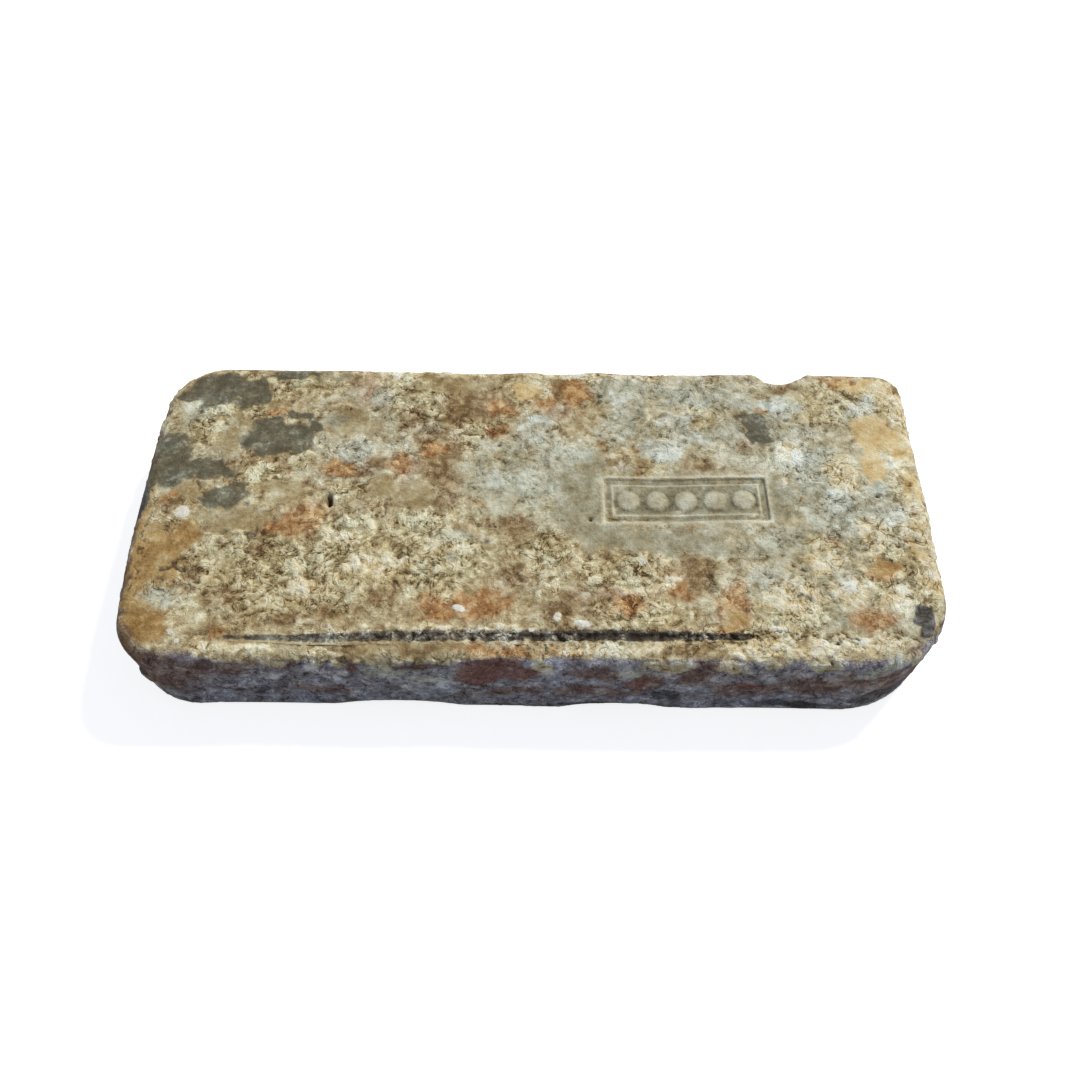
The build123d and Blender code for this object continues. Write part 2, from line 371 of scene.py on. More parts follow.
def panelPlace(x, y):
    # Where a point lies along and across the sunk panel, and how far outside its edge
    turn = math.radians(sunkPanel["turn"])
    offX, offY = x - sunkPanel["middle"][0], y - sunkPanel["middle"][1]
    along = offX * math.cos(turn) + offY * math.sin(turn)
    across = offY * math.cos(turn) - offX * math.sin(turn)
    edge = np.maximum(
        np.abs(along) - sunkPanel["length"] / 2, np.abs(across) - sunkPanel["width"] / 2
    )
    return along, across, edge


def panelMotif(x, y):
    # A raised lip round the sunk panel, a groove inside it, a thin border and a row of
    # plain round pellets. Gives the rise, and a tone that lightens the raised tops, as wear and
    # painted highlight, and darkens the grooves and the rings round the pellets with painted shade.
    along, across, edge = panelPlace(x, y)
    lip = smoothStep(sunkPanel["lip"] + 0.8, 0.5, edge) * smoothStep(-0.6, 0.1, edge)
    groove = np.exp(-(((edge + sunkPanel["groove"]) / 0.6) ** 2))
    border = np.exp(-(((edge + sunkPanel["border"]) / sunkPanel["borderWidth"]) ** 2) * 2)
    rise = sunkPanel["lipRise"] * lip - sunkPanel["grooveDepth"] * groove
    rise += sunkPanel["borderRise"] * border
    wearHighlightAndShade = np.maximum(lip, border)
    for step in range(sunkPanel["pellets"]):
        pelletX = (step - (sunkPanel["pellets"] - 1) / 2) * sunkPanel["pelletPitch"]
        reach = np.hypot(along - pelletX, across * 0.92) / sunkPanel["pelletReach"]
        dome = np.sqrt(np.clip(1 - reach**2, 0, 1))
        rise = np.maximum(rise, sunkPanel["pelletRise"] * dome)
        wearHighlightAndShade = np.maximum(wearHighlightAndShade, smoothStep(0.3, 0.9, dome) * 0.8)
        groove = np.maximum(groove, np.exp(-(((reach - 1.12) / 0.14) ** 2)))
    return rise, wearHighlightAndShade - groove


def readSpots(points, normals):
    # What is known of each point of the skin: its place, its wandered place, and how far it
    # belongs to each part of the brick, from 0 to 1
    x, y, z = points.T
    spots = SimpleNamespace(points=points, x=x, y=y)
    spots.wander = wandered(points, "edge", 3, 2.7)
    spots.bend = np.stack([wandered(points, "bend", 2, shift) for shift in (1.1, 4.4, 7.7)], 1)
    spots.across = x + wandered(points, "far", 3, 9.1) + wandered(points, "near", 3, 1.9)
    spots.up = y + wandered(points, "far", 3, 5.3) + wandered(points, "near", 3, 6.4)
    spots.height = z + wandered(points, "height", 3, 8.2)

    inPanel = smoothStep(sunkPanel["fadeTo"], sunkPanel["fadeFrom"], panelPlace(x, y)[2])
    gap = lineDistance(x, y, furrowLine["run"])
    spots.inFurrow = smoothStep(furrowLine["reach"], furrowLine["reach"] * 0.7, gap)
    sunkPlace = np.maximum(inPanel, spots.inFurrow) * smoothStep(topZ - 3, topZ - 2.4, z)
    spots.sunk = np.clip(topZ - z, 0, 2) * sunkPlace

    # Brow is how far inside the edge of the top's crust a point lies, measured round the arris
    foot = topZ - crustEdge["arris"]
    aboveFoot = (z - foot) / crustEdge["arris"]
    rounded = np.where(z > foot, np.arccos(np.clip(aboveFoot, -1, 1)), math.pi / 2 - aboveFoot)
    brow = crustEdge["width"] - rounded * crustEdge["arris"] * (1 - sunkPlace)
    front = smoothStep(*crustEdge["front"], y)
    brow -= crustEdge["cornerLoss"] * smoothStep(*crustEdge["corner"], x) * front
    brow += (
        crustEdge["leftGain"] * smoothStep(*crustEdge["leftFromRight"], x)
        * smoothStep(*crustEdge["leftFromCorner"], x) * front
    )
    brow += crustEdge["headerGain"] * smoothStep(*crustEdge["header"], np.abs(x)) * (1 - front)
    waves = drift(points, 9, 3, 3.3) * crustEdge["waveRise"]
    brow += waves + drift(points, 2.6, 2, 7.1) * crustEdge["rippleRise"]
    onTop = smoothStep(-crustEdge["soft"], crustEdge["soft"], brow)
    onBed = smoothStep(0.4, 0.8, -normals[:, 2]) * smoothStep(6, 3, z)
    # The front rows serve the left header too, where they all lie at its own x
    onFront = smoothStep(0.2, 0.6, np.maximum(-normals[:, 1], -normals[:, 0]))
    spots.onFront = onFront * ((1 - onTop) * (1 - onBed))
    spots.seenSide = smoothStep(0.2, 0.6, -normals[:, 1]) * (1 - onBed) * (1 - onTop)
    spots.inPanel = inPanel * onTop
    spots.brow, spots.onTop, spots.onBed = brow, onTop, onBed
    return spots


def hiddenCover(spots, fields):
    # Patches at random on the sides and the bed that weren't seen, from one seed
    chooser = random.Random(hiddenPatches["seed"])
    names = hiddenPatches["finishes"]
    halfX, halfY = hiddenPatches["halfLength"], hiddenPatches["halfWidth"]
    header, back = hiddenPatches["header"], hiddenPatches["back"]
    places = spots.points + spots.bend * 1.8
    flat = np.array([1, 1, hiddenPatches["flatness"]])
    onHidden = 1 - spots.onTop - spots.seenSide
    for count in range(hiddenPatches["count"]):
        name = names[count % len(names)]
        reach = chooser.uniform(hiddenPatches["smallest"], hiddenPatches["largest"])
        alongX, alongY = chooser.uniform(-halfX, halfX), chooser.uniform(-halfY, halfY)
        height = chooser.uniform(0, hiddenPatches["highest"])
        place = chooser.choice([
            (-header, alongY, height), (header, alongY, height), (alongX, back, height),
            (alongX, back, height), (alongX, alongY, 0), (alongX, alongY, 0),
        ])
        away = np.linalg.norm((places - np.array(place)) / flat, axis=1) / reach
        found = np.clip(1.5 - away - spots.wander, 0, 1) * onHidden
        fields[name] = np.maximum(fields[name], found)


def finishCovers(spots):
    # How far each finish covers each point, from 0 to 1
    fields = {}
    for name, rows in topPatches.items():
        found = covered(spots.across, spots.up, rows) + spots.wander
        if name == "white":  # its specks keep their plain ovals
            found = covered(spots.x, spots.y, rows) + spots.wander * 0.5
        fields[name] = np.clip(found, 0, 1) * spots.onTop
    for name, rows in frontPatches.items():
        found = covered(spots.across, spots.height, rows) + spots.wander
        found = np.clip(found, 0, 1) * spots.onFront
        fields[name] = np.maximum(fields.get(name, 0), found)
    hiddenCover(spots, fields)
    return fields


def layCrust(spots, fields):
    # The crust's rise, with what the material reads from it: how near its tips a point lies, whose
    # light tips and dark creases are partly the crust's own colour and partly painted highlight
    # and shade, how much painted shade its deepest creases get, and how coarse the crust is there
    points, bend, onTop, onBed = spots.points, spots.bend, spots.onTop, spots.onBed
    smoothed = np.maximum.reduce([fields["soot"], fields["ochre"], fields["olive"] * 0.95,
                                  fields["sand"], fields["redClay"], fields["tan"] * 0.9])
    smoothed = smoothStep(0.38, 0.62, smoothed)
    crusted = smoothStep(0.3, 0.65, np.maximum(fields["cream"], fields["limeAndPaintedLight"]))
    crusted *= 1 - smoothed
    granular = smoothStep(0.3, 0.65, fields["pale"]) * (1 - smoothed)
    coarse = 0.55 + 0.45 * crusted + 0.1 * granular - 0.42 * smoothed
    coarse = np.clip(coarse * (1 + drift(points, 14, 2, 13.3) * 0.45), 0.1, 1.1)

    big = knobs(points + bend, relief["lumpSize"], 3, 0.4)
    small = knobs(points + bend * 0.5, relief["knobSize"], 2, 3.9)
    thread = threads(points, relief["threadSize"], 12.5) * (0.3 + 0.7 * crusted)
    grain = drift(points, relief["grainSize"], 2, 8.8)
    flake = drift(points + bend, relief["flakeSize"], 3, 5.5)
    flakes = smoothStep(-0.05, 0.1, flake) * (1 - smoothed) * onTop
    rim = np.exp(-(((flake - 0.13) / 0.12) ** 2)) * (1 - smoothed) * onTop
    edging = np.exp(-((spots.brow / crustEdge["crumbWidth"]) ** 2))
    edging = edging * smoothStep(0.35, 0.7, small) * onTop
    rise = coarse * (
        relief["lumpRise"] * (big - 0.45) * (0.5 + 0.5 * crusted)
        + relief["knobRise"] * (small - 0.45) * (0.6 + 0.4 * np.maximum(crusted, granular))
        + relief["grainRise"] * grain + relief["threadRise"] * thread
    ) + relief["flakeRise"] * flakes * (0.4 + 0.6 * np.maximum(crusted, granular))
    rise *= onTop + (1 - onTop) * relief["sideShare"]
    rise += crustEdge["crumbRise"] * edging
    rise *= 1 - onBed * (1 - relief["bedShare"])
    # Lighter on the tips and darker in the creases: partly the crust's colour, partly painted shade
    crest = 0.5 + (big - 0.45) * 0.4 + (small - 0.45) * 0.45 + thread * 0.25 + rim * 0.14
    crest = 0.5 + (crest - 0.5) * (0.35 + coarse) + edging * 0.3
    # The lime crust, partly painted light on the front lip and right margin, is lighter still
    crest += 0.1 * smoothStep(0.4, 0.8, fields["limeAndPaintedLight"]) * onTop
    # Painted shade in the deepest creases, where the large and the small lumps are both low
    recessShade = smoothStep(0.2, 0.04, big) * smoothStep(0.5, 0.2, small) * coarse * 0.6
    for row in plates:
        reach = patchDistance(spots.across, spots.up, row) + spots.wander * 0.5
        rise += row[5] * smoothStep(1.04, 0.9, reach) * onTop
        crest += 0.3 * np.exp(-(((reach - 0.93) / 0.07) ** 2)) * onTop
    return SimpleNamespace(
        rise=rise, crest=crest, recessShade=recessShade, coarse=coarse, small=small, grain=grain
    )


def pressPanel(spots, crust):
    motif, wearHighlightAndShade = panelMotif(spots.x, spots.y)
    inPanel = spots.inPanel
    crust.rise = crust.rise * (1 - inPanel * 0.7) + motif * inPanel
    crust.rise += spots.sunk * inPanel * sunkPanel["fill"]
    # Raised tops lighter, as wear and painted highlight, and grooves darker, as painted shade
    crust.crest = crust.crest * (1 - inPanel * 0.4) + inPanel * (0.2 + wearHighlightAndShade * 0.4)


def fillFurrow(spots, fields, crust):
    x = spots.x
    middle = np.interp(x, *zip(*furrowLine["run"]))
    inFront = smoothStep(0.2, -1.3, spots.y - middle)
    fill = crust.small * furrowLine["fill"] + furrowLine["frontFill"] * inFront
    crust.rise += spots.inFurrow * spots.sunk * np.clip(fill, 0, 1)
    # A dark band along the back edge: partly stain and partly painted shadow of the back wall
    gap = lineDistance(x, spots.y, furrowLine["stainAndShadow"]) + crust.grain * 0.3
    reach = smoothStep(*furrowLine["leftTaper"], x) * smoothStep(*furrowLine["rightTaper"], x)
    reach = reach * furrowLine["stainAndShadowReach"] + furrowLine["stainAndShadowTip"]
    stainAndShadow = smoothStep(1.25, 0.4, gap / reach + spots.wander * 0.6) * spots.onTop
    crust.crest -= stainAndShadow * smoothStep(*furrowLine["solidFrom"], x) * furrowLine["solid"]
    fields["furrow"] = stainAndShadow


def pressMarks(spots, crust):
    # Cracks and holes go in and are darkened with painted shade, stones and crumbs stand out
    for width, depth, run in cracks:
        gap = lineDistance(spots.across, spots.up, run) + np.abs(crust.grain) * 0.3
        cut = smoothStep(width, width * 0.3, gap) * spots.onTop
        crust.rise -= depth * cut
        crust.recessShade = np.maximum(crust.recessShade, cut * 0.9)
    for row in holes:
        reach = patchDistance(spots.x, spots.y, row) + spots.wander
        cut = smoothStep(1.2, 0.45, reach) * spots.onTop
        crust.rise -= row[5] * cut
        crust.recessShade = np.maximum(crust.recessShade, cut * min(1, 0.3 + row[5] * 0.3))
    for row in stones:
        reach = patchDistance(spots.x, spots.y, row) + spots.wander
        dome = np.sqrt(np.clip(1 - reach**2, 0, 1)) * spots.onTop
        raised = np.maximum(crust.rise, crust.rise * 0.4 + row[5] * dome)
        crust.rise = np.where(dome > 0, raised, crust.rise)
        crust.crest = np.maximum(crust.crest, smoothStep(0.1, 0.8, dome) * 0.85)
    for *middle, reach, height in crumbs:
        away = np.linalg.norm(spots.points - np.array(middle), axis=1)
        dome = np.sqrt(np.clip(1 - (away / reach + spots.wander) ** 2, 0, 1))
        crust.rise += height * dome
        crust.crest = np.maximum(crust.crest, smoothStep(0.2, 0.9, dome) * 0.8)


def scatterPitsAndGrits(spots, crust):
    scatter = random.Random(relief["seed"])
    points, coarse = spots.points, crust.coarse
    for count in range(relief["pits"] + relief["grits"]):
        at = points[scatter.randrange(len(points))]
        reach = scatter.uniform(relief["smallest"], relief["largest"])
        near = np.flatnonzero(np.abs(spots.x - at[0]) < reach * 1.3)
        away = np.linalg.norm(points[near] - at, axis=1) / reach
        if count < relief["pits"]:
            # Pits go in and are darkened with painted shade
            cut = smoothStep(1.15, 0.4, away) * np.clip(coarse[near] * 1.6, 0.15, 1)
            crust.rise[near] -= cut * reach * 0.55
            crust.recessShade[near] = np.maximum(crust.recessShade[near], cut * 0.7)
        else:
            dome = np.sqrt(np.clip(1 - away**2, 0, 1))
            crust.rise[near] += dome * reach * 0.4 * np.clip(coarse[near] * 1.4, 0.05, 1)
            crust.crest[near] = np.maximum(crust.crest[near], 0.85 * dome)


def surfaceFields(points, normals):
    # Works out each finish's cover and the relief, one value for each point of the skin,
    # and how much room the relief has to rise there, in the furrow and in the panel
    spots = readSpots(points, normals)
    onTop, seenSide = spots.onTop, spots.seenSide
    fields = finishCovers(spots)
    crust = layCrust(spots, fields)
    pressPanel(spots, crust)
    fillFurrow(spots, fields, crust)
    pressMarks(spots, crust)
    scatterPitsAndGrits(spots, crust)
    waves = drift(points, relief["waveSize"], 2, 6.2) * relief["waveRise"]
    crust.rise += waves * (1 - spots.onBed * 0.9)
    fields["recessShade"] = crust.recessShade
    fields["crest"] = np.clip(crust.crest, 0, 1)
    fields["coarse"] = np.maximum(crust.coarse * (0.5 + 0.5 * onTop), seenSide * 0.8)
    fields["coarse"] *= 1 - spots.inPanel * 0.5
    # The seen front stretcher gets its own blue-grey ramp, whose blue-violet tint is painted shade
    fields["slateAndShadeTint"] = seenSide
    fields["bare"] = 1 - onTop - seenSide
    return fields, crust.rise, spots.sunk * onTop


def readCorners(mesh):
    corners = np.zeros(len(mesh.vertices) * 3)
    mesh.vertices.foreach_get("co", corners)
    return corners.reshape(-1, 3)


def applyModifiers(piece):
    graph = bpy.context.evaluated_depsgraph_get()
    made = bpy.data.meshes.new_from_object(piece.evaluated_get(graph))
    old = piece.data
    piece.modifiers.clear()
    piece.data = made
    bpy.data.meshes.remove(old)


def fillBox(corners):
    # The skin reaches just as far each way as the moulded block does
    low, high = corners.min(0), corners.max(0)
    return np.array(cadLow) + (corners - low) * np.array(cadHigh - cadLow) / (high - low)


def closerMesh(shape):
    # Halves the cells in the sunk panel and along the furrow, where the forms are small
    panelX, panelY = sunkPanel["middle"]
    left, right = furrowLine["closeX"]
    front, back = furrowLine["closeY"]

    def needsMore(edge):
        x, y, z = (edge.verts[0].co + edge.verts[1].co) / (2 * mm)
        inPanel = abs(x - panelX) < sunkPanel["closeX"] and abs(y - panelY) < sunkPanel["closeY"]
        inFurrow = left < x < right and front < y < back
        return z > topZ - 2.5 and (inPanel or inFurrow)

    small = [edge for edge in shape.edges if needsMore(edge)]
    bmesh.ops.subdivide_edges(shape, edges=small, cuts=1, use_grid_fill=True)


def makeSkin():
    # An even, close mesh over the moulded block, which the relief is then pressed into
    block = bmesh.new()
    block.from_mesh(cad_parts["brick"].data)
    bmesh.ops.remove_doubles(block, verts=block.verts, dist=0.002 * mm)
    bmesh.ops.recalc_face_normals(block, faces=block.faces)
    blockFaces = BVHTree.FromBMesh(block)
    mesh = bpy.data.meshes.new("brick_skin")
    block.to_mesh(mesh)
    block.free()
    mesh.materials.clear()
    skin = bpy.data.objects.new("brick_skin", mesh)
    bpy.context.scene.collection.objects.link(skin)
    remesh = skin.modifiers.new("Even cells", "REMESH")
    remesh.mode = "VOXEL"
    remesh.voxel_size = relief["cell"] * mm
    applyModifiers(skin)
    mesh = skin.data
    shape = bmesh.new()
    shape.from_mesh(mesh)
    closerMesh(shape)
    for vert in shape.verts:
        vert.co = blockFaces.find_nearest(vert.co)[0]
    shape.to_mesh(mesh)
    shape.free()
    mesh.update()
    print("even skin of", len(mesh.vertices), "points")

    corners = readCorners(mesh)
    normals = np.array([vertex.normal[:] for vertex in mesh.vertices])
    fields, rise, room = surfaceFields(corners / mm, normals)
    # Most of the skin stays a little under the block's faces, and what stands proud is lowered
    rise -= np.percentile(rise, relief["underShare"])
    rise = np.where(rise > room, room + (rise - room) * relief["proudShare"], rise)
    # It rises straight up in the furrow and the panel, whose steep walls would fold otherwise
    upright = np.clip(room / relief["uprightRoom"], 0, 1)[:, None]
    towards = normals * (1 - upright) + np.array((0, 0, 1)) * upright
    mesh.vertices.foreach_set("co", fillBox(corners + towards * rise[:, None] * mm).ravel())
    for name, values in fields.items():
        attribute = mesh.attributes.new(name, "FLOAT", "POINT")
        attribute.data.foreach_set("value", values.astype(np.float32))
    mesh.update()
    print("relief pressed, finishes:", ", ".join(fields))

    thin = skin.modifiers.new("Fewer triangles on the flats", "DECIMATE")
    faces = sum(len(face.vertices) - 2 for face in mesh.polygons)
    thin.ratio = min(1, relief["triangles"] / faces)
    applyModifiers(skin)
    mesh = skin.data
    mesh.vertices.foreach_set("co", fillBox(readCorners(mesh)).ravel())
    mesh.polygons.foreach_set("use_smooth", [True] * len(mesh.polygons))
    mesh.update()
    print("skin thinned to", len(mesh.polygons), "faces")
    return skin


def put(tree, kind, inputs=None, **settings):
    # Adds a node. Each input is set to a value, or linked where a socket is given.
    made = tree.nodes.new(kind)
    for name, value in settings.items():
        setattr(made, name, value)
    for name, value in (inputs or {}).items():
        if isinstance(value, bpy.types.NodeSocket):
            tree.links.new(value, made.inputs[name])
        else:
            made.inputs[name].default_value = value
    return made


def paint(red, green, blue):
    # A colour written as it shows on a screen, 0 to 255, as the shader wants it
    shown = [channel / 255 for channel in (red, green, blue)]
    return [c / 12.92 if c < 0.04045 else ((c + 0.055) / 1.055) ** 2.4 for c in shown] + [1]


def maths(tree, operation, first, second=0.0, clamp=False):
    return put(
        tree, "ShaderNodeMath", {0: first, 1: second}, operation=operation, use_clamp=clamp
    ).outputs[0]


def blendColour(tree, factor, below, above, mode="MIX"):
    return put(
        tree, "ShaderNodeMix", {0: factor, 6: below, 7: above},
        data_type="RGBA", blend_type=mode,
    ).outputs[2]


def between(tree, value, low, high):
    return put(
        tree, "ShaderNodeMapRange", {"Value": value, "From Min": low, "From Max": high},
        interpolation_type="SMOOTHSTEP",
    ).outputs[0]


def colourRamp(tree, value, stops):
    ramp = put(tree, "ShaderNodeValToRGB", {"Fac": value})
    elements = ramp.color_ramp.elements
    while len(elements) < len(stops):
        elements.new(0.5)
    for element, (place, colour) in zip(elements, stops):
        element.position = place
        element.color = paint(*colour)
    return ramp.outputs["Color"]


# Each finish, from the clay up: how ragged and how soft its edge is, how much it hides what
# lies under it, and its colours from the creases to the tips, whose dark and light ends are
# partly painted shade and highlight
finishes = {
    "bloom": {"ragged": 0.8, "soft": 0.36, "hides": 0.85, "stops": [
        (0.06, (106, 100, 79)), (0.36, (182, 178, 153)), (0.62, (212, 209, 187)),
        (0.92, (244, 244, 228))]},
    "pink": {"ragged": 0.6, "soft": 0.4, "hides": 0.7, "stops": [
        (0.08, (136, 108, 90)), (0.45, (190, 164, 140)), (0.92, (226, 210, 194))]},
    "tan": {"ragged": 0.5, "soft": 0.3, "hides": 0.8, "stops": [
        (0.08, (118, 100, 70)), (0.45, (170, 154, 116)), (0.92, (210, 200, 168))]},
    "olive": {"ragged": 0.35, "soft": 0.3, "hides": 0.85, "stops": [
        (0.08, (112, 110, 92)), (0.45, (158, 155, 133)), (0.92, (202, 200, 182))]},
    "pale": {"ragged": 0.6, "soft": 0.3, "hides": 0.85, "stops": [
        (0.08, (106, 102, 84)), (0.4, (174, 174, 155)), (0.85, (224, 228, 216))]},
    "cream": {"ragged": 0.6, "soft": 0.28, "hides": 0.9, "stops": [
        (0.06, (88, 70, 46)), (0.36, (160, 145, 108)), (0.62, (204, 194, 157)),
        (0.92, (244, 240, 212))]},
    "brown": {"ragged": 0.7, "soft": 0.36, "hides": 0.84, "stops": [
        (0.08, (66, 50, 32)), (0.45, (128, 102, 68)), (0.92, (200, 178, 140))]},
    "rust": {"ragged": 0.8, "soft": 0.36, "hides": 0.85, "stops": [
        (0.08, (88, 54, 30)), (0.45, (164, 115, 68)), (0.92, (228, 192, 140))]},
    "ochre": {"ragged": 0.5, "soft": 0.24, "hides": 0.85, "stops": [
        (0.08, (108, 80, 44)), (0.45, (172, 140, 88)), (0.92, (220, 194, 144))]},
    "sand": {"ragged": 0.5, "soft": 0.16, "hides": 0.9, "stops": [
        (0.08, (160, 126, 78)), (0.45, (220, 194, 142)), (0.92, (246, 230, 190))]},
    "soot": {"ragged": 0.5, "soft": 0.16, "hides": 0.92, "stops": [
        (0.08, (58, 56, 46)), (0.5, (92, 90, 76)), (0.92, (146, 142, 122))]},
    "umber": {"ragged": 0.5, "soft": 0.3, "hides": 0.84, "stops": [
        (0.08, (70, 50, 43)), (0.45, (114, 88, 78)), (0.92, (170, 148, 136))]},
    "redClay": {"ragged": 0.45, "soft": 0.14, "hides": 0.9, "stops": [
        (0.08, (94, 60, 54)), (0.45, (126, 87, 80)), (0.92, (170, 132, 120))]},
    "limeAndPaintedLight": {"ragged": 0.6, "soft": 0.26, "hides": 0.9, "stops": [
        (0.06, (130, 108, 74)), (0.36, (210, 194, 153)), (0.62, (236, 225, 190)),
        (0.92, (252, 250, 236))]},
    "frost": {"ragged": 0.8, "soft": 0.4, "hides": 0.78, "stops": [
        (0.08, (134, 136, 124)), (0.4, (198, 204, 194)), (0.85, (240, 246, 241))]},
    "charcoal": {"ragged": 0.45, "soft": 0.16, "hides": 0.88, "stops": [
        (0.08, (34, 34, 38)), (0.45, (64, 64, 72)), (0.92, (126, 127, 136))]},
    # Colours of the dark band along the furrow's back edge, partly stain and partly painted shadow
    "furrow": {"ragged": 0.5, "soft": 0.26, "hides": 0.88, "stops": [
        (0.1, (40, 37, 38)), (0.42, (78, 74, 73)), (0.68, (138, 134, 126)),
        (0.92, (222, 220, 208))]},
    "white": {"ragged": 0.4, "soft": 0.14, "hides": 0.95, "stops": [
        (0.08, (190, 186, 170)), (0.45, (234, 235, 226)), (0.9, (250, 252, 250))]},
}

clay = {
    "top": [(0.06, (86, 69, 47)), (0.37, (165, 147, 113)), (0.64, (204, 192, 158)),
            (0.92, (242, 235, 208))],
    # The seen front stretcher's blue-grey: its grey is the side's own, its blue-violet tint is
    # painted shade colour
    "slateAndShadeTint": [(0.08, (74, 69, 74)), (0.42, (145, 142, 154)), (0.7, (188, 188, 202)),
              (0.92, (240, 240, 246))],
    "bare": [(0.08, (92, 74, 56)), (0.42, (148, 126, 98)), (0.7, (178, 160, 130)),
             (0.92, (210, 198, 172))],
    # Colour of the painted shade in cracks, holes, pits and the deepest creases
    "recessShadeColour": (76, 60, 42),
    "warmth": [(0, (243, 234, 216)), (0.5, (249, 246, 238)), (1, (251, 255, 252))],
    "shade": [(0, (234, 229, 221)), (1, (255, 255, 255))],
    "speck": 0.7, "grain": 1.4, "mottle": 3.6, "blotch": 9.0, "broad": 26.0, "spread": 0.16,
    "threadSize": 4.6, "threadWidth": 0.042, "creaseSize": 6.0, "creaseWidth": 0.03,
    "bumpRise": 0.32, "rough": 0.93, "sootRough": 0.8, "shine": 0.25,
}


def firedClay():
    material = bpy.data.materials.new("fired_clay_with_crust")
    material.use_nodes = True
    tree = material.node_tree
    tree.nodes.clear()
    place = put(tree, "ShaderNodeTexCoord").outputs["Object"]

    def attribute(name):
        return put(tree, "ShaderNodeAttribute", attribute_name=name).outputs["Fac"]

    def mottled(size, detail=3):
        # Noise stretched to run from 0 to 1
        found = put(tree, "ShaderNodeTexNoise", {
            "Vector": place, "Scale": 1 / (size * mm), "Detail": detail, "Roughness": 0.6,
        }).outputs["Fac"]
        return put(tree, "ShaderNodeMapRange", {
            "Value": found, "From Min": 0.5 - clay["spread"], "From Max": 0.5 + clay["spread"],
        }).outputs[0]

    def curls(size, width):
        # Thin curling lines, 1 on each line and 0 away from it
        found = put(tree, "ShaderNodeTexNoise", {
            "Vector": place, "Scale": 1 / (size * mm), "Detail": 2, "Distortion": 1.4,
        }).outputs["Fac"]
        away = maths(tree, "ABSOLUTE", maths(tree, "SUBTRACT", found, 0.5))
        return between(tree, away, width, 0)

    def weighed(parts):
        total = None
        for value, weight in parts:
            part = maths(tree, "MULTIPLY", value, weight)
            total = part if total is None else maths(tree, "ADD", total, part)
        return total

    fine = mottled(clay["grain"])
    mottle = mottled(clay["mottle"])
    blotch = mottled(clay["blotch"], 4)
    broad = mottled(clay["broad"], 4)
    thread = curls(clay["threadSize"], clay["threadWidth"])
    crease = curls(clay["creaseSize"], clay["creaseWidth"])
    # Grain runs from 0 in the creases to 1 on the tips of the crust. Its dark creases, the crease
    # lines too, and its light tips are partly the crust's own colour and partly painted shade and
    # highlight
    lines = weighed([(thread, 0.32), (crease, -0.42)])
    lines = maths(tree, "MULTIPLY", lines, attribute("coarse"))
    grain = weighed([(fine, 0.16), (mottle, 0.26), (blotch, 0.24), (attribute("crest"), 0.9),
                     (lines, 1)])
    grain = maths(tree, "SUBTRACT", grain, 0.27)
    ragged = weighed([(blotch, 0.45), (mottle, 0.35), (fine, 0.2)])
    ragged = maths(tree, "SUBTRACT", ragged, 0.5)

    colour = colourRamp(tree, grain, clay["top"])
    for name in ("slateAndShadeTint", "bare"):
        colour = blendColour(tree, attribute(name), colour, colourRamp(tree, grain, clay[name]))
    for name, finish in finishes.items():
        cover = weighed([(attribute(name), 1), (ragged, finish["ragged"])])
        cover = between(tree, cover, 0.5 - finish["soft"], 0.5 + finish["soft"])
        cover = maths(tree, "MULTIPLY", cover, finish["hides"])
        colour = blendColour(tree, cover, colour, colourRamp(tree, grain, finish["stops"]))
    for tone, name in ((blotch, "warmth"), (broad, "shade")):
        colour = blendColour(tree, 1.0, colour, colourRamp(tree, tone, clay[name]), "MULTIPLY")
    # Painted shade darkens the cracks, holes, pits and deepest creases
    colour = blendColour(tree, attribute("recessShade"), colour, paint(*clay["recessShadeColour"]))

    bumps = weighed([(mottled(clay["speck"]), 0.2), (fine, 0.35), (mottle, 0.5), (lines, 1.1)])
    bump = put(tree, "ShaderNodeBump", {
        "Height": bumps, "Strength": 1.0, "Distance": clay["bumpRise"] * mm,
    })
    rough = put(tree, "ShaderNodeMapRange", {
        "Value": attribute("soot"), "From Min": 0.3, "From Max": 0.7,
        "To Min": clay["rough"], "To Max": clay["sootRough"],
    }).outputs[0]
    shader = put(tree, "ShaderNodeBsdfPrincipled", {
        "Base Color": colour, "Roughness": rough, "Normal": bump.outputs["Normal"],
        "Specular IOR Level": clay["shine"],
    })
    put(tree, "ShaderNodeOutputMaterial", {"Surface": shader.outputs["BSDF"]})
    return material


brick = makeSkin()
brick.data.materials.append(firedClay())
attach(brick, "root")
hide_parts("brick")
print("brick finished")

studio = {
    "cameraAt": (6.021, -283.851, 391.044), "cameraTilt": 36.614, "cameraTurn": 0.7219,
    "lens": 43.333,
    "keyTurn": 46, "keyHeight": 48, "keySize": 8, "keyStrength": 2.98,
    "keyColour": (1, 0.97, 0.91),
    "fillColour": (0.7, 0.8, 1.0), "fillStrength": 0.36,
    "floorReach": 3.0, "floorShade": 0.5, "floorWhite": 0.82,
}


def whiteSeen(tree, kind, shown, hidden):
    # The camera and reflections see one shader, and every other ray meets the other
    seen = put(tree, "ShaderNodeLightPath").outputs
    direct = maths(tree, "ADD", seen["Is Camera Ray"], seen["Is Glossy Ray"], True)
    direct = maths(tree, "ADD", direct, seen["Is Transmission Ray"], True)
    surface = put(tree, "ShaderNodeMixShader", {0: direct, 1: hidden, 2: shown}).outputs[0]
    put(tree, kind, {"Surface": surface})


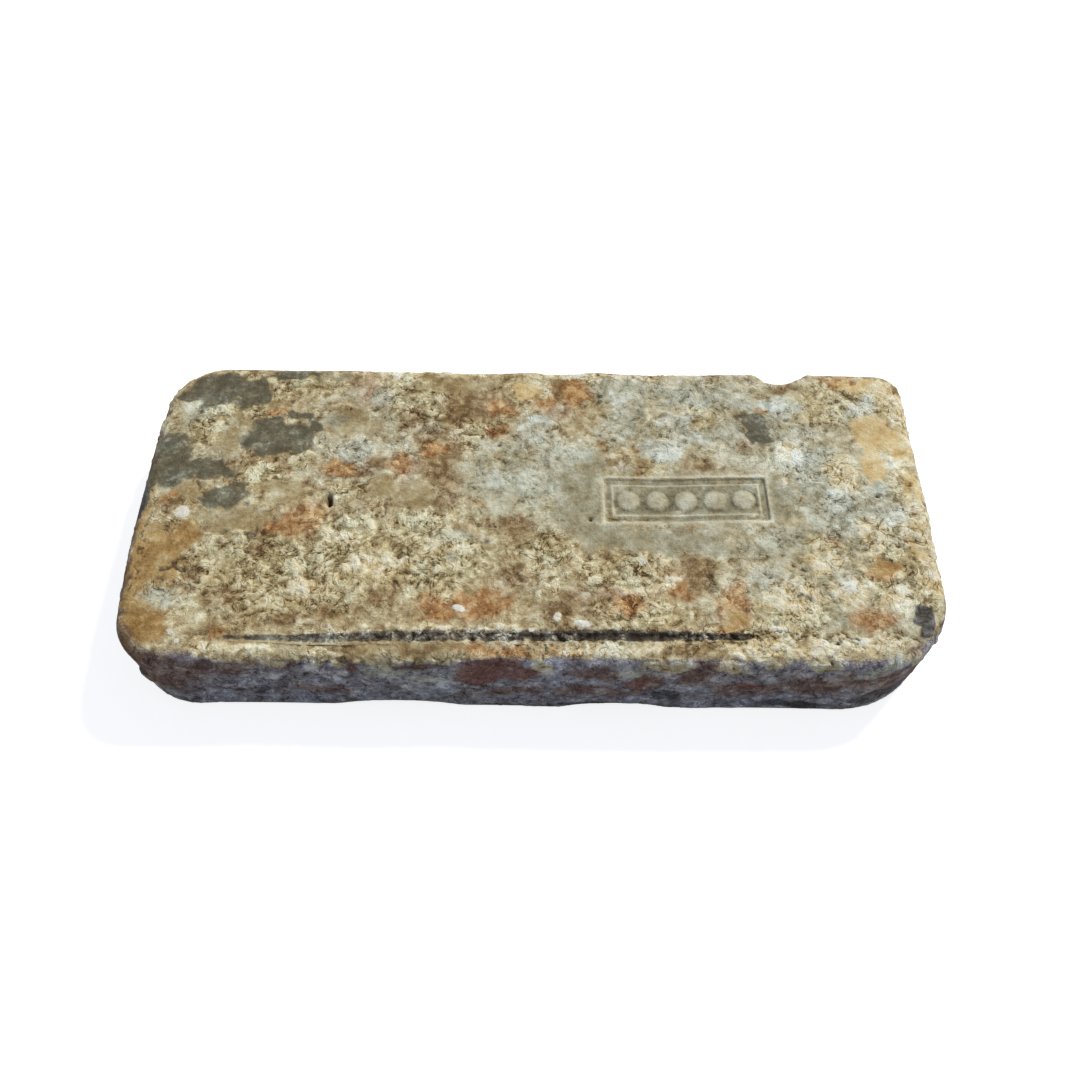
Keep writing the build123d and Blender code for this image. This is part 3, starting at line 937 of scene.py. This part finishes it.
def makeFloor():
    # A pale floor that the camera sees near white, and that still takes the shadow
    shape = bmesh.new()
    bmesh.ops.create_grid(shape, x_segments=1, y_segments=1, size=studio["floorReach"])
    mesh = bpy.data.meshes.new("floor")
    shape.to_mesh(mesh)
    shape.free()
    floor = bpy.data.objects.new("floor", mesh)
    bpy.context.scene.collection.objects.link(floor)
    material = bpy.data.materials.new("pale_floor")
    material.use_nodes = True
    tree = material.node_tree
    tree.nodes.clear()
    shade = studio["floorShade"]
    matt = put(tree, "ShaderNodeBsdfDiffuse", {"Color": (shade, shade, shade, 1)}).outputs[0]
    glow = put(tree, "ShaderNodeEmission", {
        "Color": (1, 1, 1, 1), "Strength": studio["floorWhite"],
    }).outputs[0]
    lifted = put(tree, "ShaderNodeAddShader", {0: matt, 1: glow}).outputs[0]
    whiteSeen(tree, "ShaderNodeOutputMaterial", lifted, matt)
    floor.data.materials.append(material)


def makeLight():
    key = bpy.data.lights.new("key", "SUN")
    key.energy = studio["keyStrength"]
    key.angle = math.radians(studio["keySize"])
    key.color = studio["keyColour"]
    lamp = bpy.data.objects.new("key", key)
    turn, rise = math.radians(studio["keyTurn"]), math.radians(studio["keyHeight"])
    flat = math.cos(rise)
    towards = Vector((math.sin(turn) * flat, math.cos(turn) * flat, math.sin(rise)))
    lamp.rotation_euler = towards.to_track_quat("Z", "Y").to_euler()
    bpy.context.scene.collection.objects.link(lamp)

    world = bpy.data.worlds.new("studio")
    bpy.context.scene.world = world
    world.use_nodes = True
    tree = world.node_tree
    tree.nodes.clear()
    fill = put(tree, "ShaderNodeBackground", {
        "Color": (*studio["fillColour"], 1), "Strength": studio["fillStrength"],
    }).outputs[0]
    white = put(tree, "ShaderNodeBackground", {"Color": (1, 1, 1, 1)}).outputs[0]
    whiteSeen(tree, "ShaderNodeOutputWorld", white, fill)


def makeCamera():
    data = bpy.data.cameras.new("camera")
    data.lens = studio["lens"]
    data.sensor_width = 36
    data.clip_start = 0.01
    camera = bpy.data.objects.new("camera", data)
    camera.location = Vector(studio["cameraAt"]) * mm
    tilt, turn = math.radians(studio["cameraTilt"]), math.radians(studio["cameraTurn"])
    camera.rotation_euler = (tilt, 0, turn)
    bpy.context.scene.collection.objects.link(camera)
    bpy.context.scene.camera = camera


makeFloor()
makeLight()
makeCamera()
bpy.context.scene.view_settings.view_transform = "Standard"
print("floor, light and camera set")
